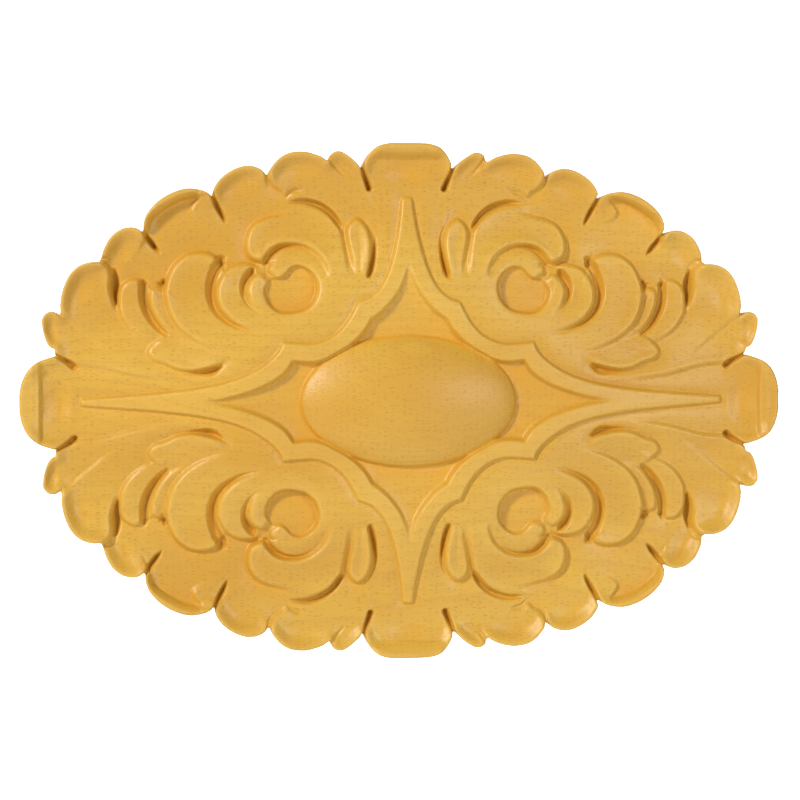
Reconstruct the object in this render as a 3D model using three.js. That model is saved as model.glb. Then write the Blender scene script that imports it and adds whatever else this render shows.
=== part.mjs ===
// Carved oval rosette: one flat-backed board of beech, carved in relief on its face.
// The four quarters of the carving are mirror images, so one quarter is worked out and mirrored.
// The quarter is drawn on a grid of millimetres at the nominal length and height, x to the right along the
// grain, y up, measured from the middle of the oval. Heights run from the flat back to the carved face.

import * as THREE from 'three';

// Overall sizes, in millimetres
const length = 300;
const height = 201.5;
const thickness = 22;

// Levels of the carved face above the back
const valleyLevel = 8.6;
const crestLevel = 14.8;
const rimLevel = 11.2;
const dishLevel = 12.0;
const dishRise = 1.8;
const eyeWellDepth = 3.9;

// The plain oval boss in the middle
const bossLength = 84.6;
const bossHeight = 50.6;
const bossShoulder = 1.5;
const bossFullness = 0.78;

// The raised band that runs round the dish and out to the four end lobes
const bandRise = 1.3;
const bandEndDrop = 0.8;
const bandChamfer = 0.7;
const bandChamferWidth = 1.3;
const bandFootSink = 0.9;
const bandFootReach = 2;

// The rim of the leaves
const valleyInset = 22;
const lobeEdgeRise = 1.3;
const lobeEdgeWidth = 4.5;
const endLipRise = 1.6;
const endLipWidth = 6.6;
const endLipSlope = 4;
const endLipSideFade = 3;
const endLipFall = 0.3;
const sideLipHalfLength = 17;
const topLipHalfLength = 18;

// The spiral eye
const eyeX = 45.4;
const eyeY = 43.4;
const wellWall = 1.3;
const wellTilt = 0.05;
const wellKnots = [
  [46.2, 33.4], [40.8, 34.6], [36.9, 37.8], [35, 42.4], [35.5, 47], [38, 50.6], [41.6, 52.6],
  [44.6, 52.6], [46.9, 51.3], [48.6, 49.4], [50.4, 48.2], [52.6, 48.2], [54.4, 48], [55.2, 46.2],
  [56.7, 43.6], [56.4, 40.2], [55, 37.2], [52.6, 34.8], [49.8, 33.6], [46.2, 33.4],
];

// Cuts of the round-nosed tools
const wallWidth = 1.3;
const channelWidth = 2.8;
const channelDepth = 3.2;
const slitWidth = 2.5;
const slitDepth = 4.2;
const veinWidth = 2.5;
const veinDepth = 2.8;
const noCove = 0;
const smallCove = 0.8;
const wideCove = 1.4;

// How finely curves are faceted
const chordError = 0.16;
const longestStep = 9;
const openSpacing = 7.6;
const closestPoints = 0.62;
const settledGap = 1.15;
const softGap = 1.4;
const faintShare = 0.25;
const capShare = 0.3;
const wallTopShare = 0.56;
const wellFootShare = 0.85;
const rimFootShare = 0.8;
const rowShare = 0.87;
const clearShare = 0.42;
const bandClearOfBoss = 1.06;

// Free edge of the leaves, lobe by lobe from the top end lobe to the right end lobe
const lobes = [
  [[0, 99.5], [5, 99.5], [9, 99.1], [12.6, 97.8], [15.3, 95.3], [16.9, 92.6], [17.7, 90.6]],
  [[18.5, 90.3], [20.5, 92.3], [23.5, 94.7], [26.3, 96.1], [28.5, 96], [30.2, 94.9], [30.9, 93.2]],
  [[31.6, 92.6], [34.5, 94.3], [39, 95.6], [43, 95.8], [47, 95.1], [50.6, 93], [53.5, 89.6], [54.8, 87.2]],
  [[55.2, 87.1], [57.5, 89.1], [60.5, 90.1], [64, 90.1], [68.5, 88.5], [72.9, 85.4], [75.4, 81.9],
    [76.1, 79.2]],
  [[76.5, 79], [79.5, 80.6], [83.5, 81.3], [87.5, 81], [92.6, 79.1], [97.1, 76.2], [100.7, 72.3],
    [102.3, 68.8], [102.6, 65.8]],
  [[103.2, 65], [105.2, 66.2], [108, 66.5], [111.6, 65.5], [115.1, 62.7], [117.5, 58.6], [118.6, 55.2]],
  [[119.6, 53.4], [123.5, 53.1], [127.6, 51.5], [130.8, 48.2], [133.1, 43.3], [134.2, 38.2], [134.2, 34.2]],
  [[134.7, 33.5], [136.8, 34.5], [139.3, 34.1], [141.1, 31.8], [141, 28.2], [140, 24.2], [138.5, 21.4],
    [136.6, 20.4]],
  [[136.3, 17.8], [139, 17], [143.1, 15.4], [146.5, 12.4], [148.8, 8.3], [149.8, 4], [150, 0]],
];

// The drawing runs to the tips of the two end lobes, and is stretched to the overall sizes
const gridHalfLength = lobes.at(-1).at(-1)[0];
const gridHalfHeight = lobes[0][0][1];
const stretchX = length / 2 / gridHalfLength;
const stretchY = height / 2 / gridHalfHeight;

// Outer and inner edge of the raised band: three arcs each, meeting at the two cusps
const bandOuter = [
  [[0, 79.6], [1.6, 79.4], [2.7, 78], [3.4, 72], [4.6, 64.5], [6.3, 57], [8.6, 50], [11.6, 44.4],
    [15.5, 40.6], [20.6, 38.5]],
  [[20.6, 38.5], [22.3, 35], [25, 30.5], [28.7, 26.6], [33, 24], [38, 22.7], [43.5, 22.9], [49.8, 23.4]],
  [[49.8, 23.4], [51.4, 19.7], [55, 16], [60, 12.6], [66, 9.8], [74, 7.4], [84, 5.6], [96, 4.2], [110, 3.1],
    [125.5, 2], [127.4, 1.2], [127.5, 0]],
];
const bandInner = [
  [[0, 54], [1.4, 48.3], [3.8, 42.9], [7.3, 38], [11, 34.3], [14.8, 31.6]],
  [[14.8, 31.6], [17.2, 27.5], [20.5, 23.9], [24.5, 20.7], [29, 18], [34, 15.7], [39, 14.9], [45.4, 15.5]],
  [[45.4, 15.5], [48.4, 11.3], [53, 7.9], [59, 5], [66, 2.7], [73, 1], [79.5, 0]],
];

// Stepped edges of the overlapping leaves. The leaf on the left of the line stands up by rise, the ground
// on its right is lowered by sink, and both fade out over reach. Each knot is x, y and its share of the step.
const steps = [
  { name: 'narrow leaf beside the stem', rise: 1, sink: 1.3, reach: 3, knots: [
    [21.3, 48, 0], [22.7, 54, 0.6], [23.8, 59, 0.8], [24.8, 65, 1], [23.4, 69, 1], [20, 71.2, 1],
    [16.8, 69.4, 1], [14.6, 65.5, 1], [13.8, 60.5, 1], [14.3, 55, 1], [15.2, 50.5, 0.7], [16.2, 47.5, 0],
  ] },
  { name: 'front of the large curl', rise: 1.3, sink: 1.5, reach: 4.2, knots: [
    [56.2, 53.2, 0.4], [58, 53.2, 1], [60.6, 53.9, 1], [62.7, 55.6, 1], [63.9, 58.6, 1],
    [63.9, 62.2, 1], [62.6, 66, 1], [60.2, 69, 0.9], [56.5, 71, 0.7], [52, 72.2, 0.5], [47, 73.4, 0.3],
    [42, 74.5, 0],
  ] },
  { name: 'back of the large curl', rise: 1.2, sink: 0.6, reach: 3.6, knots: [
    [45, 76.4, 0.3], [38, 76, 0.5], [31, 73, 0.7], [26.5, 68.6, 0.9], [25, 65, 0.8], [24.2, 60, 0.7],
    [23.4, 54, 0.6], [23, 47, 0],
  ] },
  { name: 'inside of the large curl', rise: 0.9, sink: 1.1, reach: 2.8, knots: [
    [32.4, 47, 0], [32.4, 50.5, 0.6], [34.4, 54.6, 1], [37.2, 57.4, 1], [40.6, 59.4, 1],
    [44.6, 60.2, 1], [48.6, 59.8, 1], [51.8, 58.2, 1], [54, 55.8, 1], [54.9, 53.8, 0.8],
    [55.2, 52.6, 0.2],
  ] },
  { name: 'tip of the small curl', rise: 0.5, sink: 1.2, reach: 2.4, knots: [
    [52.4, 48.2, 0.5], [54.2, 48.8, 0.9], [55.2, 50.4, 1], [54.9, 52.2, 1], [53.4, 53.8, 0.4],
  ] },
  { name: 'first crescent', rise: 0.7, sink: 1, reach: 2.6, knots: [
    [57.5, 33.6, 0], [60.8, 36.2, 0.4], [62.8, 40, 1], [63.2, 43.5, 1], [61.8, 46.8, 1],
    [59.8, 48.8, 1], [57.6, 49.6, 1], [55.8, 48.4, 0.8], [55, 46.5, 0.2],
  ] },
  { name: 'second crescent', rise: 1, sink: 1.1, reach: 3, knots: [
    [56, 26.2, 0], [62, 27.6, 0.4], [68, 30, 0.8], [72, 33.4, 1], [74.6, 37.6, 1], [75.2, 42, 1],
    [74.3, 45.9, 1], [72.6, 49, 1], [70.3, 51.7, 1], [66.5, 53.4, 1], [62.8, 54, 1], [60, 53.3, 0.8],
    [58.4, 51.8, 0.3],
  ] },
  { name: 'third crescent', rise: 1.3, sink: 1.2, reach: 4.2, knots: [
    [68, 18.4, 0], [74.5, 19.6, 0.35], [81, 21.9, 0.5], [87, 25.6, 0.7], [92, 31, 0.9], [94.6, 37.6, 1],
    [95.2, 43.5, 1], [93.9, 48.2, 1], [91.8, 52.4, 1], [88.8, 55.4, 1], [85, 57.5, 1], [80, 58, 1],
    [76, 57, 1], [73.8, 55.1, 1], [73, 53.3, 0.4],
  ] },
  { name: 'tongue of the third crescent', rise: 0.7, sink: 0.9, reach: 3, knots: [
    [86, 23.2, 0], [89.5, 24.6, 0.5], [93.4, 26.6, 0.7], [97, 30.3, 1], [99.6, 34.6, 1],
    [100.8, 38.6, 1], [100.8, 42, 1], [99.4, 44.3, 1], [97, 44.6, 1], [95.2, 43.4, 0.5],
  ] },
  { name: 'fourth crescent', rise: 0.9, sink: 1, reach: 3.6, knots: [
    [96.5, 21.2, 0.2], [102.5, 23.6, 0.5], [107.5, 26.8, 0.7], [111, 31, 0.8], [113, 36, 0.9],
    [113, 41, 1], [111.4, 45, 1], [108.3, 47.4, 1], [104.9, 47.7, 1], [102.7, 46, 0.5],
  ] },
  { name: 'wide lobe over its neighbour', rise: 1.2, sink: 1.2, reach: 3.6, knots: [
    [120.5, 54.3, 1], [117.2, 53.6, 1], [115.1, 51.3, 1], [114.4, 47.8, 1], [114.8, 44.5, 1],
    [114.3, 41.3, 1], [113.3, 38, 0.8], [112.2, 34.8, 0],
  ] },
  { name: 'low tongue', rise: 0.9, sink: 1.2, reach: 2.8, knots: [
    [69, 17, 0], [72.4, 14.6, 0.7], [76, 12.6, 1], [80, 11.6, 1], [84, 11.2, 1], [88, 11.5, 1],
    [91.4, 12.5, 1], [95, 14.2, 1], [99.4, 15.6, 0.9], [102, 18.8, 0.8], [100.6, 22, 0.7],
    [97.2, 24.4, 0.6], [94.5, 25.4, 0],
  ] },
  { name: 'lobe over the large curl', rise: 0.7, sink: 1, reach: 3.2, knots: [
    [46.5, 79, 0.3], [48.5, 79, 0.8], [50, 80.5, 1], [52.8, 82.2, 1], [54.4, 84.8, 1], [55.1, 88, 1],
  ] },
  { name: 'fold under the wide lobe', rise: 0.7, sink: 0.7, reach: 3, knots: [
    [107, 14.5, 0], [113, 16.6, 0.3], [118.5, 20, 0.6], [123, 23.8, 0.8], [127.5, 27.3, 1],
    [130.8, 30.2, 1], [133, 32.3, 1], [134.8, 34.6, 1],
  ] },
  { name: 'stem of the side lobe', rise: 0.6, sink: 0.6, reach: 3.2, knots: [
    [88, 7.6, 0.2], [97, 8.2, 0.7], [104, 9.2, 1], [111, 10.8, 1], [117, 12.4, 1], [122, 13.2, 1],
    [127.4, 13.6, 1],
  ] },
  { name: 'crease of the turned lip', rise: 1.4, sink: 0.9, reach: 4, knots: [
    [80, 78.8, 0.2], [82.3, 78.2, 0.6], [87.8, 76.8, 1], [93.3, 74, 1], [98.8, 70, 1],
    [100.8, 65.8, 0.6],
  ] },
];

// Cuts that run along a line, each of a width and depth, and a cove that widens its right side.
// Each knot is x, y and its share of the width.
const cuts = [
  { name: 'beside the narrow leaf', width: veinWidth, cove: noCove, depth: veinDepth, knots: [
    [15.6, 48.4, 0.9], [14.9, 50.5, 1.1], [14.1, 53.5, 1], [13.4, 57.5, 0.8], [13.1, 61, 0.55],
    [13.6, 64.5, 0.35], [15, 67.6, 0.2],
  ] },
  { name: 'behind the large curl', width: veinWidth, cove: smallCove, depth: veinDepth, knots: [
    [26, 66.4, 0.4], [26.9, 68.6, 0.9], [28.6, 71.3, 1.05], [31, 73.8, 1], [34.2, 75.8, 1],
    [37.6, 77, 0.9], [40.5, 77.5, 0.8], [43.5, 77.3, 0.6], [46.5, 77, 0.2],
  ] },
  { name: 'under the large curl', width: veinWidth, cove: smallCove, depth: veinDepth, knots: [
    [55.8, 53.6, 0.9], [54.4, 55.9, 1.1], [52.2, 58, 1.1], [49, 59.6, 0.8], [45, 60, 0.5],
    [41, 59.3, 0.35], [37.5, 57.6, 0.2],
  ] },
  { name: 'after the first crescent', width: veinWidth, cove: smallCove, depth: veinDepth, knots: [
    [57, 33.8, 0], [60.4, 35.3, 0.2], [62.9, 38, 0.4], [64.1, 41, 0.6], [64.2, 44.4, 0.8],
    [62.8, 47.4, 1.1], [60.9, 49.6, 1.1],
  ] },
  { name: 'after the second crescent', width: channelWidth, cove: wideCove, depth: channelDepth, knots: [
    [57, 26.2, 0], [62, 27.2, 0.2], [67.4, 29.3, 0.4], [71.9, 32.2, 0.6], [75, 36, 0.8],
    [76.5, 41.2, 0.95], [76.2, 46.2, 1], [74.4, 50.6, 1.1], [72.6, 53.4, 1.2],
  ] },
  { name: 'after the third crescent', width: channelWidth, cove: wideCove, depth: channelDepth, knots: [
    [94.2, 26.2, 0.5], [97, 28.7, 0.7], [99.8, 32.6, 0.9], [101.9, 37.4, 1], [102.6, 41.5, 1],
    [102.4, 45, 1],
  ] },
  { name: 'under the wide lobe', width: channelWidth, cove: smallCove, depth: channelDepth, knots: [
    [113.1, 37.6, 0.3], [113.5, 41, 0.7], [113.2, 44.6, 1], [113.3, 47.4, 0.9], [113.9, 50.5, 0.5],
  ] },
  { name: 'under the low tongue', width: veinWidth, cove: smallCove, depth: veinDepth, knots: [
    [73.4, 13.8, 0.5], [75.6, 12.7, 1], [78, 12.1, 1.15], [81, 11.8, 0.8], [85, 11.6, 0.4], [90, 12.2, 0.2],
  ] },
  { name: 'fold beside the pointed lobe', width: veinWidth, cove: noCove, depth: veinDepth / 2, knots: [
    [30.4, 93.6, 1], [29.2, 91.6, 0.9], [26.5, 88.5, 0.5], [22.5, 84.5, 0],
  ] },
  { name: 'slit beside the top lobe', width: slitWidth, cove: noCove, depth: slitDepth, knots: [
    [18.1, 91.2, 0.8], [17.3, 88.3, 0.75], [15.8, 84.8, 1], [14.9, 82.4, 1.15],
  ] },
  { name: 'slit before the turned lip', width: slitWidth, cove: noCove, depth: slitDepth, knots: [
    [76.3, 79.6, 0.9], [74.9, 76.3, 1], [73.3, 73.3, 1], [72, 70.8, 0.8], [71.2, 69, 0.4],
  ] },
  { name: 'slit after the turned lip', width: slitWidth, cove: noCove, depth: slitDepth, knots: [
    [102.9, 65.8, 0.9], [101, 62.7, 1], [98.8, 59.9, 1.1], [97.2, 58, 0.6], [96.4, 57, 0.3],
  ] },
  { name: 'slit beside the side lobe', width: slitWidth, cove: noCove, depth: slitDepth, knots: [
    [136.4, 18.2, 0.7], [133.6, 16.6, 0.8], [131, 15, 1.15], [129.4, 13.8, 1.4],
  ] },
];

// A smooth curve through knots. The third value of a knot, if there is one, is carried along the curve.
function smoothLine(knots, perSpan = 6) {
  const curve = new THREE.CatmullRomCurve3(
    knots.map(([x, y, share = 1]) => new THREE.Vector3(x, y, share)), false, 'catmullrom');
  return curve.getPoints((knots.length - 1) * perSpan);
}

// Several curves set end to end into one line with sharp corners
function joinLines(list) {
  const line = list.flatMap((knots) => smoothLine(knots));
  return line.filter((p, i) => i === 0 || p.distanceTo(line[i - 1]) > 1e-6);
}

// The quarter of an ellipse about the middle of the oval, from the x axis to the y axis
function quarterEllipse(radiusX, radiusY, count) {
  return Array.from({ length: count + 1 }, (_, i) => {
    const angle = (Math.PI / 2) * (i / count);
    const x = i === count ? 0 : radiusX * Math.cos(angle);
    return new THREE.Vector3(x, radiusY * Math.sin(angle), 1);
  });
}

const rim = joinLines(lobes);
const bandOuterLine = joinLines(bandOuter);
const bandInnerLine = joinLines(bandInner);
const stepLines = steps.map((step) => ({ ...step, line: smoothLine(step.knots) }));
const cutLines = cuts.map((cut) => ({ ...cut, line: smoothLine(cut.knots) }));
const middle = new THREE.Vector3(0, 0, 0);

// Distance from a point to a line, positive on its left, and the share carried by the nearest point
function measure(x, y, line) {
  let best = Infinity;
  let side = 1;
  let share = 0;
  for (let i = 0; i + 1 < line.length; i++) {
    const a = line[i];
    const dx = line[i + 1].x - a.x;
    const dy = line[i + 1].y - a.y;
    const t = THREE.MathUtils.clamp(((x - a.x) * dx + (y - a.y) * dy) / (dx * dx + dy * dy || 1), 0, 1);
    const gap = Math.hypot(x - a.x - t * dx, y - a.y - t * dy);
    if (gap < best) {
      best = gap;
      side = dx * (y - a.y) - dy * (x - a.x) < 0 ? -1 : 1;
      share = Math.max(0, THREE.MathUtils.lerp(a.z, line[i + 1].z, t));
    }
  }
  return { gap: best, signed: best * side, share };
}

// Whether a point lies inside a closed line
function within(x, y, line) {
  let odd = false;
  for (let i = 0, j = line.length - 1; i < line.length; j = i++) {
    const [a, b] = [line[i], line[j]];
    if (a.y > y !== b.y > y && x < ((b.x - a.x) * (y - a.y)) / (b.y - a.y) + a.x) odd = !odd;
  }
  return odd;
}

const { smoothstep, lerp, clamp } = THREE.MathUtils;
const fade = (gap, reach) => Math.exp(-Math.max(gap, 0) / reach);
const radius = (x, y) => Math.hypot(x / gridHalfLength, y / gridHalfHeight);

// The ground under the leaves: a crest round the band, a valley near the rim and a rise to the rim
const crestRadius = 0.42;
function ground(x, y) {
  const r = radius(x, y);
  const reach = r > 0 ? Math.hypot(x, y) / r : gridHalfHeight;
  const valleyRadius = 1 - valleyInset / reach;
  const inward = clamp((valleyRadius - r) / (valleyRadius - crestRadius), 0, 1);
  const outward = clamp((r - valleyRadius) / (1 - valleyRadius), 0, 1.1);
  const fall = (smoothstep(inward, 0, 1) + inward) / 2;
  return valleyLevel + (crestLevel - valleyLevel) * fall + (rimLevel - valleyLevel) * outward ** 1.5;
}

// The turned-over lips of the two end lobes
function endLip(x, y) {
  const along = (far, across, halfWidth, end) => {
    const crest = end - endLipWidth;
    const sideFade = 1 - smoothstep(Math.abs(across), halfWidth - endLipSideFade, halfWidth);
    const fall = Math.max(far - crest, 0) * endLipFall;
    return smoothstep(far, crest - endLipSlope, crest) * sideFade * (endLipRise - fall);
  };
  return along(x, y, sideLipHalfLength, gridHalfLength) + along(y, x, topLipHalfLength, gridHalfHeight);
}

// One leaf's stepped edge
function stepHeight(x, y, { line, rise, sink, reach }) {
  const { signed, share } = measure(x, y, line);
  const above = smoothstep(signed, 0, wallWidth);
  return share * (rise * fade(signed - wallWidth, reach) * above - sink * fade(-signed, reach) * (1 - above));
}

// One cut with a round bottom
const thinnest = 0.2;
const flatBottom = 0.2;
function cutHeight(x, y, { line, width, cove, depth }) {
  const { gap, signed, share } = measure(x, y, line);
  const half = width / 2 + (signed < 0 ? cove : 0);
  const across = gap / (half * Math.max(share, thinnest));
  return -depth * Math.min(share, 1) * (1 - smoothstep(across, flatBottom, 1));
}

// The round well of the spiral, with a flat floor that leans a little
const eyeGround = ground(eyeX, eyeY);
const wellLine = smoothLine(wellKnots, 3);
function eyeHeight(x, y, before) {
  const { gap } = measure(x, y, wellLine);
  const inward = within(x, y, wellLine) ? gap : -gap;
  const floor = eyeGround - eyeWellDepth - wellTilt * (y - eyeY);
  return lerp(before, floor, smoothstep(inward, 0, wellWall));
}

// How far a point lies from the middle of the boss, as a share of the boss's edge
const bossShare = (x, y) => Math.hypot(x / (bossLength / 2), y / (bossHeight / 2));

// The raised band, the dish inside it and the boss
const bandClosed = [...bandOuterLine, middle];
const dishClosed = [...bandInnerLine, middle];
const bandDropFrom = 0.6;
const bandDropTo = 0.9;
const dishBend = 0.7;
function middleHeight(x, y, before) {
  const insideBand = within(x, y, bandClosed);
  const insideDish = within(x, y, dishClosed);
  const fromOuter = measure(x, y, bandOuterLine).gap * (insideBand ? 1 : -1);
  const fromInner = measure(x, y, bandInnerLine).gap * (insideDish ? -1 : 1);
  const onBand = Math.min(fromOuter, fromInner);
  const chamfer = bandChamfer * (1 - smoothstep(onBand, 0, bandChamferWidth));
  const endDrop = bandEndDrop * smoothstep(radius(x, y), bandDropFrom, bandDropTo);
  const bandTop = ground(x, y) + bandRise - endDrop - chamfer;
  const rise = smoothstep(onBand, -wallWidth / 2, wallWidth / 2);
  if (fromOuter < wallWidth && !insideDish) {
    const foot = before - (1 - rise) * fade(-fromOuter, bandFootReach) * bandFootSink;
    return lerp(foot, bandTop, rise);
  }
  const share = bossShare(x, y);
  const dish = dishLevel + dishRise * (1 - fade(share - 1, dishBend));
  if (share >= 1) return lerp(dish, bandTop, insideDish ? rise : 1);
  const shoulder = dishLevel + bossShoulder;
  return shoulder + (thickness - shoulder) * (1 - share ** 2) ** bossFullness;
}

// Height of the carved face above the back
function carvedHeight(x, y) {
  const edge = measure(x, y, rim).gap;
  let z = ground(x, y) + lobeEdgeRise * Math.exp(-((edge / lobeEdgeWidth) ** 2)) + endLip(x, y);
  for (const step of stepLines) z += stepHeight(x, y, step);
  z = eyeHeight(x, y, z);
  for (const cut of cutLines) z += cutHeight(x, y, cut);
  return middleHeight(x, y, z);
}

// Keeps only the points of a line that its shape needs
function thinLine(line) {
  const kept = [0];
  for (let i = 2; i < line.length; i++) {
    const from = line[kept.at(-1)];
    const chord = [from, line[i]];
    const skipped = line.slice(kept.at(-1) + 1, i);
    const bent = skipped.some((p) => measure(p.x, p.y, chord).gap > chordError);
    if (bent || Math.hypot(line[i].x - from.x, line[i].y - from.y) > longestStep) kept.push(i - 1);
  }
  kept.push(line.length - 1);
  return kept.map((i) => {
    const a = line[Math.max(i - 1, 0)];
    const b = line[Math.min(i + 1, line.length - 1)];
    const run = Math.hypot(b.x - a.x, b.y - a.y) || 1;
    return { x: line[i].x, y: line[i].y, share: line[i].z, left: [-(b.y - a.y) / run, (b.x - a.x) / run] };
  });
}

// The points at which the carved face is taken, kept apart from each other
const points = [];
const chains = [];
const rimClosed = [...rim, middle];
const samePlace = 1e-6;
let settled = 0;
function addPoint(x, y, gap) {
  const near = points.findIndex((p, i) => Math.hypot(p.x - x, p.y - y) < (i < settled ? settledGap : gap));
  return near >= 0 ? near : points.push({ x, y }) - 1;
}

// Adds the points of one line, and keeps in mind which of them follow each other
function addChain(places, { fixed = false, gap = closestPoints } = {}) {
  let before = -1;
  for (const [x, y] of places) {
    const inside = x > closestPoints && y > closestPoints && within(x, y, rimClosed)
      && measure(x, y, rim).gap > closestPoints;
    const index = fixed || inside ? addPoint(x, y, fixed ? samePlace : gap) : -1;
    if (before >= 0 && index >= 0 && before !== index) chains.push({ a: before, b: index, fixed });
    before = index;
  }
}

// A line moved to its left by a shift, which may depend on the share carried by each point
function beside(line, shift) {
  return thinLine(line).map(({ x, y, share, left }) => {
    const by = typeof shift === 'function' ? shift(share) : shift;
    return [x + left[0] * by, y + left[1] * by];
  });
}

// The closed rim of a cut, with round ends
function cutRim(line, width, cove) {
  const half = (share) => (width / 2) * share;
  const coveHalf = (share) => (width / 2 + cove) * share;
  const cap = (point, from) => [1, 2, 3].map((k) => {
    const angle = from - (Math.PI / 4) * k;
    const reach = (half(point.z) + coveHalf(point.z)) / 2;
    return [point.x + reach * Math.cos(angle), point.y + reach * Math.sin(angle)];
  });
  const heading = (a, b) => Math.atan2(b.y - a.y, b.x - a.x);
  const [first, last] = [line[0], line.at(-1)];
  const endCap = last.z > capShare ? cap(last, heading(line.at(-2), last) + Math.PI / 2) : [];
  const startCap = first.z > capShare ? cap(first, heading(first, line[1]) - Math.PI / 2) : [];
  const rightSide = beside(line, (share) => -coveHalf(share)).reverse();
  const loop = [...beside(line, half), ...endCap, ...rightSide, ...startCap];
  return [...loop, loop[0]];
}

// The axes of the oval, split where the boss, the band and the end lips cross them
const bossShares = [0.38, 0.64, 0.82, 0.93, 0.985, 1.015];
function axisMarks(half, bossHalf, bandInside, bandOutside) {
  const rings = bossShares.map((share) => bossHalf * share);
  const walls = [bandInside, bandOutside].flatMap((edge) => [edge - wallWidth, edge + wallWidth]);
  return [0, ...rings, ...walls, half - endLipWidth - endLipSlope, half - endLipWidth, half];
}
const marksX = axisMarks(gridHalfLength, bossLength / 2, bandInnerLine.at(-1).x, bandOuterLine.at(-1).x);
const marksY = axisMarks(gridHalfHeight, bossHeight / 2, bandInnerLine[0].y, bandOuterLine[0].y);
for (const [marks, place] of [[marksX, (v) => [v, 0]], [marksY, (v) => [0, v]]]) {
  for (let i = 0; i + 1 < marks.length; i++) {
    const count = Math.ceil((marks[i + 1] - marks[i]) / openSpacing);
    const share = (k) => lerp(marks[i], marks[i + 1], k / count);
    for (let k = 0; k < count; k++) addChain([place(share(k)), place(share(k + 1))], { fixed: true });
  }
}
addChain(beside(rim, 0), { fixed: true });

// Rings round the boss
for (const share of bossShares) {
  const count = Math.round(4 + 12 * share);
  const ring = quarterEllipse((bossLength / 2) * share, (bossHeight / 2) * share, count);
  addChain(ring.map(({ x, y }) => [x, y]));
}

// The top and the foot of the band's walls, away from the boss
for (const line of [bandOuterLine, bandInnerLine]) {
  for (const side of [1, -1]) {
    const wall = beside(line, side * wallWidth * wallTopShare);
    addChain(wall.filter(([x, y]) => bossShare(x, y) > bandClearOfBoss));
  }
}

// The bottom and the rim of each cut
const strongPart = (line) => line.filter(({ z }) => z > faintShare);
for (const { line, width, cove } of cutLines) {
  addChain(beside(strongPart(line), 0));
  addChain(cutRim(strongPart(line), width, cove));
}

// The top and the foot of the well's wall
const wellCount = wellLine.length;
for (const share of [1, wellFootShare]) {
  const ring = wellLine.filter((point, k) => k % 2 === 0 || k === wellCount - 1);
  addChain(ring.map(({ x, y }) => [lerp(eyeX, x, share), lerp(eyeY, y, share)]));
}

// The top and the foot of each stepped edge, which give way to the cuts beside them
settled = points.length;
for (const { line } of stepLines) {
  for (const side of [wallWidth, 0]) addChain(beside(strongPart(line), side));
}
settled = 0;

// The foot of the raised rim, the crest and foot of the two end lips, and an even spread over the rest
addChain(beside(rim, -lobeEdgeWidth * rimFootShare), { gap: softGap });
for (const inset of [endLipWidth, endLipWidth + endLipSlope]) {
  const across = [0.18, 0.4, 0.62, 0.83];
  addChain(across.map((v) => [gridHalfLength - inset, sideLipHalfLength * v]), { gap: softGap });
  addChain(across.map((v) => [topLipHalfLength * v, gridHalfHeight - inset]), { gap: softGap });
}
for (let row = 0, y = openSpacing / 2; y < gridHalfHeight; y += openSpacing * rowShare, row++) {
  for (let x = openSpacing * (row % 2 ? 0.5 : 1); x < gridHalfLength; x += openSpacing) {
    const clear = within(x, y, rimClosed) && measure(x, y, rim).gap > openSpacing / 3;
    if (clear) addPoint(x, y, openSpacing * clearShare);
  }
}

// Joins scattered points into triangles whose circles hold no other point
function triangulate() {
  const far = 1e5;
  const all = [...points, { x: -far, y: -far }, { x: far, y: -far }, { x: 0, y: far }];
  const circle = (a, b, c) => {
    const [p, q, r] = [all[a], all[b], all[c]];
    const [bx, by, cx, cy] = [q.x - p.x, q.y - p.y, r.x - p.x, r.y - p.y];
    const d = 2 * (bx * cy - by * cx);
    const ux = (cy * (bx * bx + by * by) - by * (cx * cx + cy * cy)) / d;
    const uy = (bx * (cx * cx + cy * cy) - cx * (bx * bx + by * by)) / d;
    return { corners: [a, b, c], x: p.x + ux, y: p.y + uy, squared: ux * ux + uy * uy };
  };
  const turns = (a, b, c) => {
    const [p, q, r] = [all[a], all[b], all[c]];
    return (q.x - p.x) * (r.y - p.y) - (q.y - p.y) * (r.x - p.x);
  };
  const n = points.length;
  let triangles = [circle(n, n + 1, n + 2)];
  for (let i = 0; i < n; i++) {
    const open = new Map();
    const kept = [];
    for (const t of triangles) {
      const gap = (all[i].x - t.x) ** 2 + (all[i].y - t.y) ** 2 - t.squared;
      if (gap > -1e-9 * t.squared) {
        kept.push(t);
        continue;
      }
      t.corners.forEach((a, k) => {
        const b = t.corners[(k + 1) % 3];
        if (open.has(`${b},${a}`)) open.delete(`${b},${a}`);
        else open.set(`${a},${b}`, [a, b]);
      });
    }
    for (const [a, b] of open.values()) {
      if (Math.abs(turns(a, b, i)) > 1e-9) kept.push(circle(a, b, i));
    }
    triangles = kept;
  }
  return triangles.map((t) => t.corners).filter((t) => Math.max(...t) < n);
}

// Splits each line of the carving that the triangles do not follow, until they do
function followLines() {
  for (let round = 0; ; round++) {
    const triangles = triangulate();
    const edges = new Set(triangles.flatMap(([a, b, c]) => [`${a},${b}`, `${b},${c}`, `${c},${a}`]));
    const missing = chains.filter(({ a, b, fixed }) => (fixed || round < 2) && !edges.has(`${a},${b}`)
      && !edges.has(`${b},${a}`));
    if (!missing.length || round > 8) return triangles;
    for (const chain of missing) {
      const [p, q] = [points[chain.a], points[chain.b]];
      if (!chain.fixed && Math.hypot(p.x - q.x, p.y - q.y) < 2 * closestPoints) continue;
      const half = addPoint((p.x + q.x) / 2, (p.y + q.y) / 2, chain.fixed ? samePlace : closestPoints / 2);
      chains.push({ a: half, b: chain.b, fixed: chain.fixed });
      chain.b = half;
    }
  }
}

const quarter = followLines().filter(([a, b, c]) => {
  const x = (points[a].x + points[b].x + points[c].x) / 3;
  const y = (points[a].y + points[b].y + points[c].y) / 3;
  return within(x, y, rimClosed);
});
const levels = points.map(({ x, y }) => carvedHeight(x, y));

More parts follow.
